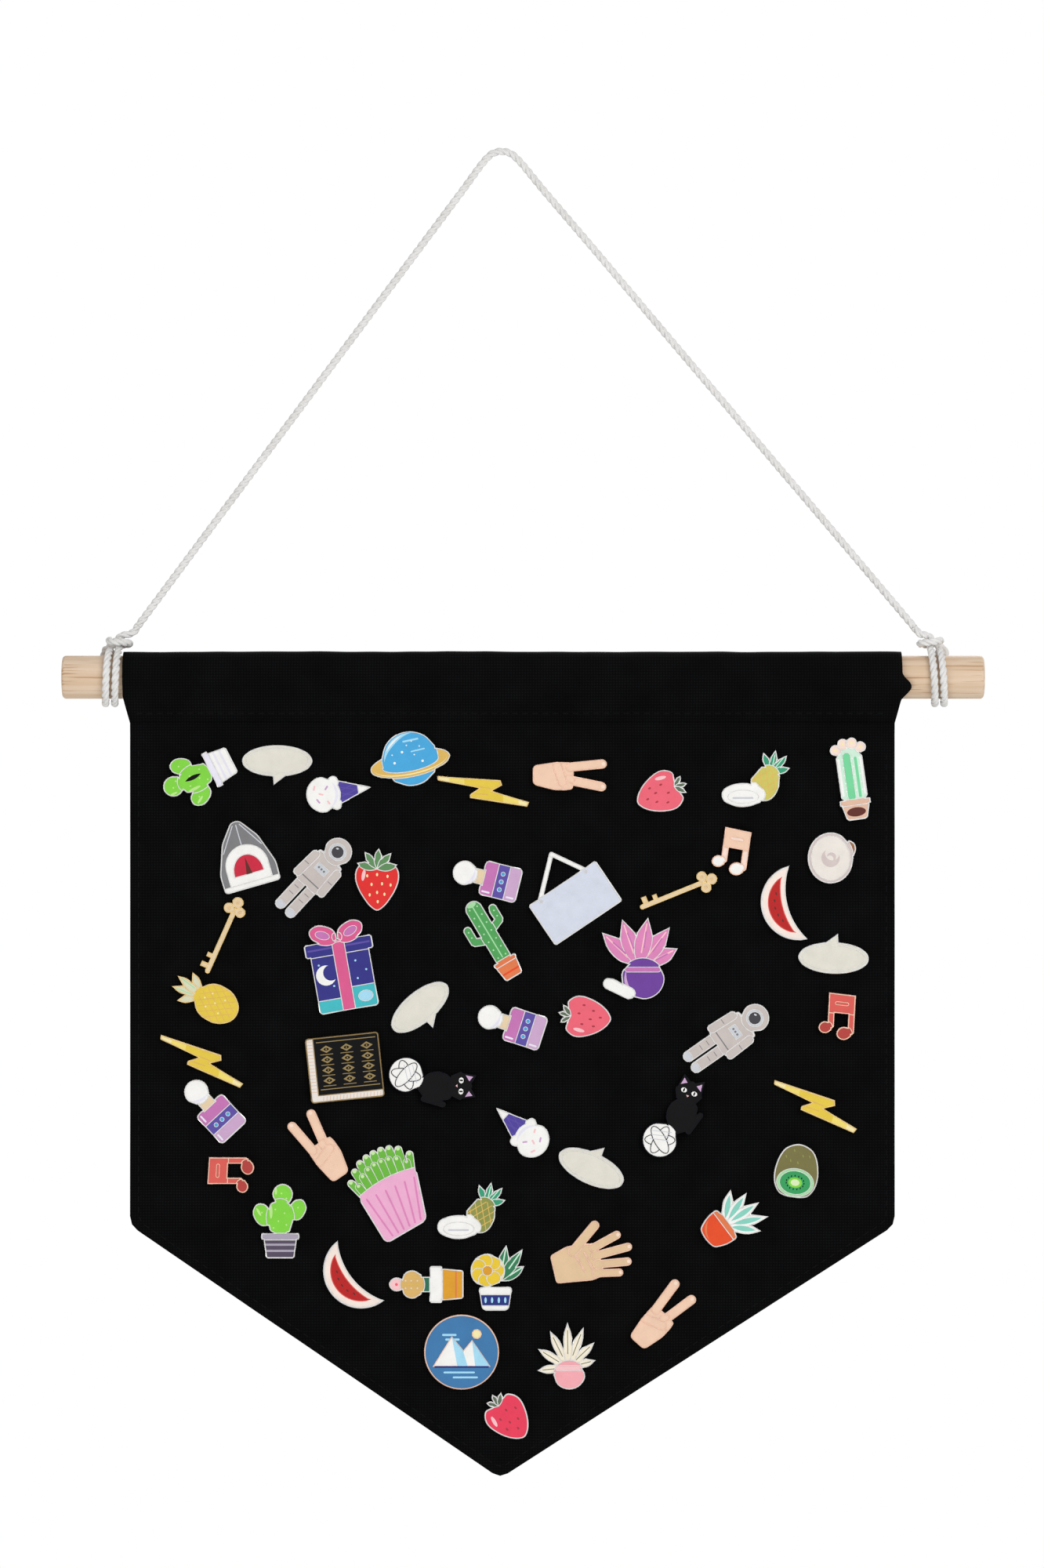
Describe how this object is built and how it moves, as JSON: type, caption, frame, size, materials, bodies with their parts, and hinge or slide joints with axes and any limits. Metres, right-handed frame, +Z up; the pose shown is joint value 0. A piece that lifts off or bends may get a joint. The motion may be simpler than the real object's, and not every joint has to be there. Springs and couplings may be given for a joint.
{
  "type": "pin badge board",
  "caption": "Black canvas pennant hung from a wooden dowel by a cord, for showing enamel pin badges; the banner swings on the dowel and each badge turns on its post.",
  "frame": {"origin": "hook point, on the inside of the bend at the top of the hanging cord", "axes": "+X to the viewer's right along the dowel, +Y away from the viewer towards the wall, +Z up"},
  "size_m": [0.3, 0.0196, 0.4323],
  "materials": {
    "beech": "bare sanded beech",
    "canvas": "matt plain-weave cotton canvas",
    "cotton_cord": "twisted cotton, off-white",
    "green_enamel": "glossy enamel on stamped metal",
    "cream_enamel": "glossy enamel on stamped metal",
    "lilac_enamel": "glossy enamel on stamped metal",
    "blue_enamel": "glossy enamel on stamped metal",
    "yellow_enamel": "glossy enamel on stamped metal",
    "skin_enamel": "glossy enamel on stamped metal",
    "pink_enamel": "glossy enamel on stamped metal",
    "grey_enamel": "glossy enamel on stamped metal",
    "red_enamel": "glossy enamel on stamped metal",
    "purple_enamel": "glossy enamel on stamped metal",
    "navy_enamel": "glossy enamel on stamped metal",
    "black_enamel": "glossy enamel on stamped metal",
    "brown_enamel": "glossy enamel on stamped metal",
    "orange_enamel": "glossy enamel on stamped metal",
    "rose_gold": "polished plating"
  },
  "bodies": {
    "hanger": {"dowel": "beech", "hanging_cord": "cotton_cord", "left_hitch": "cotton_cord", "right_hitch": "cotton_cord"},
    "banner": {"rod_pocket": "canvas", "front_panel": "canvas", "back_panel": "canvas"},
    "lime_cactus_pin_1": {"lime_cactus_pin_1": "green_enamel"},
    "speech_bubble_pin_1": {"speech_bubble_pin_1": "cream_enamel"},
    "ice_cream_pin_1": {"ice_cream_pin_1": "lilac_enamel"},
    "planet_pin": {"planet_pin": "blue_enamel"},
    "lightning_pin_1": {"lightning_pin_1": "yellow_enamel"},
    "peace_hand_pin_1": {"peace_hand_pin_1": "skin_enamel"},
    "pink_berry_pin_1": {"pink_berry_pin_1": "pink_enamel"},
    "pineapple_plate_pin_1": {"pineapple_plate_pin_1": "yellow_enamel"},
    "tall_cactus_pin": {"tall_cactus_pin": "green_enamel"},
    "tent_pin": {"tent_pin": "grey_enamel"},
    "astronaut_pin_1": {"astronaut_pin_1": "grey_enamel"},
    "strawberry_pin": {"strawberry_pin": "red_enamel"},
    "scent_bottle_pin_1": {"scent_bottle_pin_1": "purple_enamel"},
    "hanging_sign_pin": {"hanging_sign_pin": "cream_enamel"},
    "key_pin_1": {"key_pin_1": "rose_gold"},
    "music_note_pin_1": {"music_note_pin_1": "red_enamel"},
    "cup_from_above_pin": {"cup_from_above_pin": "cream_enamel"},
    "melon_slice_pin_1": {"melon_slice_pin_1": "red_enamel"},
    "speech_bubble_pin_2": {"speech_bubble_pin_2": "cream_enamel"},
    "key_pin_2": {"key_pin_2": "rose_gold"},
    "pineapple_pin": {"pineapple_pin": "yellow_enamel"},
    "saguaro_pin": {"saguaro_pin": "green_enamel"},
    "leafy_pot_pin": {"leafy_pot_pin": "pink_enamel"},
    "gift_box_pin": {"gift_box_pin": "navy_enamel"},
    "speech_bubble_pin_3": {"speech_bubble_pin_3": "cream_enamel"},
    "scent_bottle_pin_2": {"scent_bottle_pin_2": "purple_enamel"},
    "pink_berry_pin_2": {"pink_berry_pin_2": "pink_enamel"},
    "astronaut_pin_2": {"astronaut_pin_2": "grey_enamel"},
    "music_note_pin_2": {"music_note_pin_2": "red_enamel"},
    "lightning_pin_2": {"lightning_pin_2": "yellow_enamel"},
    "book_pin": {"book_pin": "black_enamel"},
    "cat_and_yarn_pin_1": {"cat_and_yarn_pin_1": "black_enamel"},
    "scent_bottle_pin_3": {"scent_bottle_pin_3": "purple_enamel"},
    "peace_hand_pin_2": {"peace_hand_pin_2": "skin_enamel"},
    "ice_cream_pin_2": {"ice_cream_pin_2": "lilac_enamel"},
    "speech_bubble_pin_4": {"speech_bubble_pin_4": "cream_enamel"},
    "cat_and_yarn_pin_2": {"cat_and_yarn_pin_2": "black_enamel"},
    "lightning_pin_3": {"lightning_pin_3": "yellow_enamel"},
    "music_note_pin_3": {"music_note_pin_3": "red_enamel"},
    "fries_pin": {"fries_pin": "pink_enamel"},
    "lime_cactus_pin_2": {"lime_cactus_pin_2": "green_enamel"},
    "pineapple_plate_pin_2": {"pineapple_plate_pin_2": "yellow_enamel"},
    "kiwi_pin": {"kiwi_pin": "brown_enamel"},
    "spiky_pot_pin": {"spiky_pot_pin": "green_enamel"},
    "melon_slice_pin_2": {"melon_slice_pin_2": "red_enamel"},
    "small_cactus_pin": {"small_cactus_pin": "orange_enamel"},
    "flower_pot_pin": {"flower_pot_pin": "yellow_enamel"},
    "open_hand_pin": {"open_hand_pin": "skin_enamel"},
    "peace_hand_pin_3": {"peace_hand_pin_3": "skin_enamel"},
    "mountain_disc_pin": {"mountain_disc_pin": "blue_enamel"},
    "cream_plant_pin": {"cream_plant_pin": "cream_enamel"},
    "pink_berry_pin_3": {"pink_berry_pin_3": "pink_enamel"}
  },
  "joints": [
    {"name": "banner_swing", "type": "hinge", "parent": "hanger", "child": "banner", "pos_m": [0.0035, 0, -0.17], "axis": [-1, 0, 0], "range_deg": [-2, 90]},
    {"name": "lime_cactus_1_spin", "type": "hinge", "parent": "banner", "child": "lime_cactus_pin_1", "pos_m": [-0.098, 0, -0.202], "axis": [0, -1, 0], "continuous": true},
    {"name": "speech_bubble_1_spin", "type": "hinge", "parent": "banner", "child": "speech_bubble_pin_1", "pos_m": [-0.073, 0, -0.198], "axis": [0, -1, 0], "continuous": true},
    {"name": "ice_cream_1_spin", "type": "hinge", "parent": "banner", "child": "ice_cream_pin_1", "pos_m": [-0.0535, 0, -0.2075], "axis": [0, -1, 0], "continuous": true},
    {"name": "planet_spin", "type": "hinge", "parent": "banner", "child": "planet_pin", "pos_m": [-0.03, 0, -0.196], "axis": [0, -1, 0], "range_deg": [-5, 50]},
    {"name": "lightning_1_spin", "type": "hinge", "parent": "banner", "child": "lightning_pin_1", "pos_m": [-0.006, 0, -0.2066], "axis": [0, -1, 0], "range_deg": [-5, 140]},
    {"name": "peace_hand_1_spin", "type": "hinge", "parent": "banner", "child": "peace_hand_pin_1", "pos_m": [0.0205, 0, -0.202], "axis": [0, -1, 0], "range_deg": [-120, 170]},
    {"name": "pink_berry_1_spin", "type": "hinge", "parent": "banner", "child": "pink_berry_pin_1", "pos_m": [0.052, 0, -0.2075], "axis": [0, -1, 0], "continuous": true},
    {"name": "pineapple_plate_1_spin", "type": "hinge", "parent": "banner", "child": "pineapple_plate_pin_1", "pos_m": [0.083, 0, -0.2035], "axis": [0, -1, 0], "continuous": true},
    {"name": "tall_cactus_spin", "type": "hinge", "parent": "banner", "child": "tall_cactus_pin", "pos_m": [0.114, 0, -0.2035], "axis": [0, -1, 0], "continuous": true},
    {"name": "tent_spin", "type": "hinge", "parent": "banner", "child": "tent_pin", "pos_m": [-0.0839, 0, -0.2272], "axis": [0, -1, 0], "range_deg": [-50, 5]},
    {"name": "astronaut_1_spin", "type": "hinge", "parent": "banner", "child": "astronaut_pin_1", "pos_m": [-0.0607, 0, -0.2348], "axis": [0, -1, 0], "range_deg": [-10, 15]},
    {"name": "strawberry_spin", "type": "hinge", "parent": "banner", "child": "strawberry_pin", "pos_m": [-0.0405, 0, -0.236], "axis": [0, -1, 0], "range_deg": [-170, 60]},
    {"name": "scent_bottle_1_spin", "type": "hinge", "parent": "banner", "child": "scent_bottle_pin_1", "pos_m": [-0.0045, 0, -0.2355], "axis": [0, -1, 0], "range_deg": [-10, 35]},
    {"name": "hanging_sign_spin", "type": "hinge", "parent": "banner", "child": "hanging_sign_pin", "pos_m": [0.022, 0, -0.2405], "axis": [0, -1, 0], "range_deg": [-20, 45]},
    {"name": "key_1_spin", "type": "hinge", "parent": "banner", "child": "key_pin_1", "pos_m": [0.0575, 0, -0.24], "axis": [0, -1, 0], "range_deg": [-105, 5]},
    {"name": "music_note_1_spin", "type": "hinge", "parent": "banner", "child": "music_note_pin_1", "pos_m": [0.077, 0, -0.2214], "axis": [0, -1, 0], "range_deg": [-105, 130]},
    {"name": "cup_from_above_spin", "type": "hinge", "parent": "banner", "child": "cup_from_above_pin", "pos_m": [0.1075, 0, -0.229], "axis": [0, -1, 0], "continuous": true},
    {"name": "melon_slice_1_spin", "type": "hinge", "parent": "banner", "child": "melon_slice_pin_1", "pos_m": [0.0895, 0, -0.245], "axis": [0, -1, 0], "continuous": true},
    {"name": "speech_bubble_2_spin", "type": "hinge", "parent": "banner", "child": "speech_bubble_pin_2", "pos_m": [0.108, 0, -0.2605], "axis": [0, -1, 0], "range_deg": [-15, 80]},
    {"name": "key_2_spin", "type": "hinge", "parent": "banner", "child": "key_pin_2", "pos_m": [-0.0905, 0, -0.254], "axis": [0, -1, 0], "range_deg": [-150, 5]},
    {"name": "pineapple_spin", "type": "hinge", "parent": "banner", "child": "pineapple_pin", "pos_m": [-0.096, 0, -0.2745], "axis": [0, -1, 0], "range_deg": [-10, 55]},
    {"name": "saguaro_spin", "type": "hinge", "parent": "banner", "child": "saguaro_pin", "pos_m": [-0.003, 0, -0.2555], "axis": [0, -1, 0], "range_deg": [-5, 105]},
    {"name": "leafy_pot_spin", "type": "hinge", "parent": "banner", "child": "leafy_pot_pin", "pos_m": [0.0445, 0, -0.2615], "axis": [0, -1, 0], "continuous": true},
    {"name": "gift_box_spin", "type": "hinge", "parent": "banner", "child": "gift_box_pin", "pos_m": [-0.052, 0, -0.2635], "axis": [0, -1, 0], "continuous": true},
    {"name": "speech_bubble_3_spin", "type": "hinge", "parent": "banner", "child": "speech_bubble_pin_3", "pos_m": [-0.026, 0, -0.278], "axis": [0, -1, 0], "range_deg": [-75, 10]},
    {"name": "scent_bottle_2_spin", "type": "hinge", "parent": "banner", "child": "scent_bottle_pin_2", "pos_m": [0.0035, 0, -0.283], "axis": [0, -1, 0], "continuous": true},
    {"name": "pink_berry_2_spin", "type": "hinge", "parent": "banner", "child": "pink_berry_pin_2", "pos_m": [0.0271, 0, -0.2805], "axis": [0, -1, 0], "continuous": true},
    {"name": "astronaut_2_spin", "type": "hinge", "parent": "banner", "child": "astronaut_pin_2", "pos_m": [0.0735, 0, -0.2871], "axis": [0, -1, 0], "range_deg": [-170, 10]},
    {"name": "music_note_2_spin", "type": "hinge", "parent": "banner", "child": "music_note_pin_2", "pos_m": [0.111, 0, -0.2749], "axis": [0, -1, 0], "range_deg": [-95, 75]},
    {"name": "lightning_2_spin", "type": "hinge", "parent": "banner", "child": "lightning_pin_2", "pos_m": [-0.0975, 0, -0.2945], "axis": [0, -1, 0], "range_deg": [-10, 60]},
    {"name": "book_spin", "type": "hinge", "parent": "banner", "child": "book_pin", "pos_m": [-0.051, 0, -0.297], "axis": [0, -1, 0], "range_deg": [-35, 5]},
    {"name": "cat_and_yarn_1_spin", "type": "hinge", "parent": "banner", "child": "cat_and_yarn_pin_1", "pos_m": [-0.0225, 0, -0.301], "axis": [0, -1, 0], "continuous": true},
    {"name": "scent_bottle_3_spin", "type": "hinge", "parent": "banner", "child": "scent_bottle_pin_3", "pos_m": [-0.094, 0, -0.3105], "axis": [0, -1, 0], "range_deg": [-10, 45]},
    {"name": "peace_hand_2_spin", "type": "hinge", "parent": "banner", "child": "peace_hand_pin_2", "pos_m": [-0.058, 0, -0.324], "axis": [0, -1, 0], "range_deg": [-105, 150]},
    {"name": "ice_cream_2_spin", "type": "hinge", "parent": "banner", "child": "ice_cream_pin_2", "pos_m": [0.0065, 0, -0.3175], "axis": [0, -1, 0], "continuous": true},
    {"name": "speech_bubble_4_spin", "type": "hinge", "parent": "banner", "child": "speech_bubble_pin_4", "pos_m": [0.0295, 0, -0.329], "axis": [0, -1, 0], "continuous": true},
    {"name": "cat_and_yarn_2_spin", "type": "hinge", "parent": "banner", "child": "cat_and_yarn_pin_2", "pos_m": [0.056, 0, -0.313], "axis": [0, -1, 0], "continuous": true},
    {"name": "lightning_3_spin", "type": "hinge", "parent": "banner", "child": "lightning_pin_3", "pos_m": [0.1021, 0, -0.3092], "axis": [0, -1, 0], "range_deg": [-50, 80]},
    {"name": "music_note_3_spin", "type": "hinge", "parent": "banner", "child": "music_note_pin_3", "pos_m": [-0.0936, 0, -0.3303], "axis": [0, -1, 0], "range_deg": [-170, 35]},
    {"name": "fries_spin", "type": "hinge", "parent": "banner", "child": "fries_pin", "pos_m": [-0.037, 0, -0.338], "axis": [0, -1, 0], "range_deg": [-105, 15]},
    {"name": "lime_cactus_2_spin", "type": "hinge", "parent": "banner", "child": "lime_cactus_pin_2", "pos_m": [-0.072, 0, -0.3475], "axis": [0, -1, 0], "continuous": true},
    {"name": "pineapple_plate_2_spin", "type": "hinge", "parent": "banner", "child": "pineapple_plate_pin_2", "pos_m": [-0.0095, 0, -0.344], "axis": [0, -1, 0], "continuous": true},
    {"name": "kiwi_spin", "type": "hinge", "parent": "banner", "child": "kiwi_pin", "pos_m": [0.096, 0, -0.3305], "axis": [0, -1, 0], "continuous": true},
    {"name": "spiky_pot_spin", "type": "hinge", "parent": "banner", "child": "spiky_pot_pin", "pos_m": [0.0755, 0, -0.346], "axis": [0, -1, 0], "continuous": true},
    {"name": "melon_slice_2_spin", "type": "hinge", "parent": "banner", "child": "melon_slice_pin_2", "pos_m": [-0.0515, 0, -0.3675], "axis": [0, -1, 0], "range_deg": [-170, 15]},
    {"name": "small_cactus_spin", "type": "hinge", "parent": "banner", "child": "small_cactus_pin", "pos_m": [-0.024, 0, -0.3675], "axis": [0, -1, 0], "range_deg": [-30, 105]},
    {"name": "flower_pot_spin", "type": "hinge", "parent": "banner", "child": "flower_pot_pin", "pos_m": [-0.002, 0, -0.365], "axis": [0, -1, 0], "range_deg": [-35, 90]},
    {"name": "open_hand_spin", "type": "hinge", "parent": "banner", "child": "open_hand_pin", "pos_m": [0.029, 0, -0.3598], "axis": [0, -1, 0], "continuous": true},
    {"name": "peace_hand_3_spin", "type": "hinge", "parent": "banner", "child": "peace_hand_pin_3", "pos_m": [0.051, 0, -0.379], "axis": [0, -1, 0], "continuous": true},
    {"name": "mountain_disc_spin", "type": "hinge", "parent": "banner", "child": "mountain_disc_pin", "pos_m": [-0.013, 0, -0.3895], "axis": [0, -1, 0], "continuous": true},
    {"name": "cream_plant_spin", "type": "hinge", "parent": "banner", "child": "cream_plant_pin", "pos_m": [0.021, 0, -0.3905], "axis": [0, -1, 0], "continuous": true},
    {"name": "pink_berry_3_spin", "type": "hinge", "parent": "banner", "child": "pink_berry_pin_3", "pos_m": [0.002, 0, -0.4105], "axis": [0, -1, 0], "continuous": true}
  ]
}
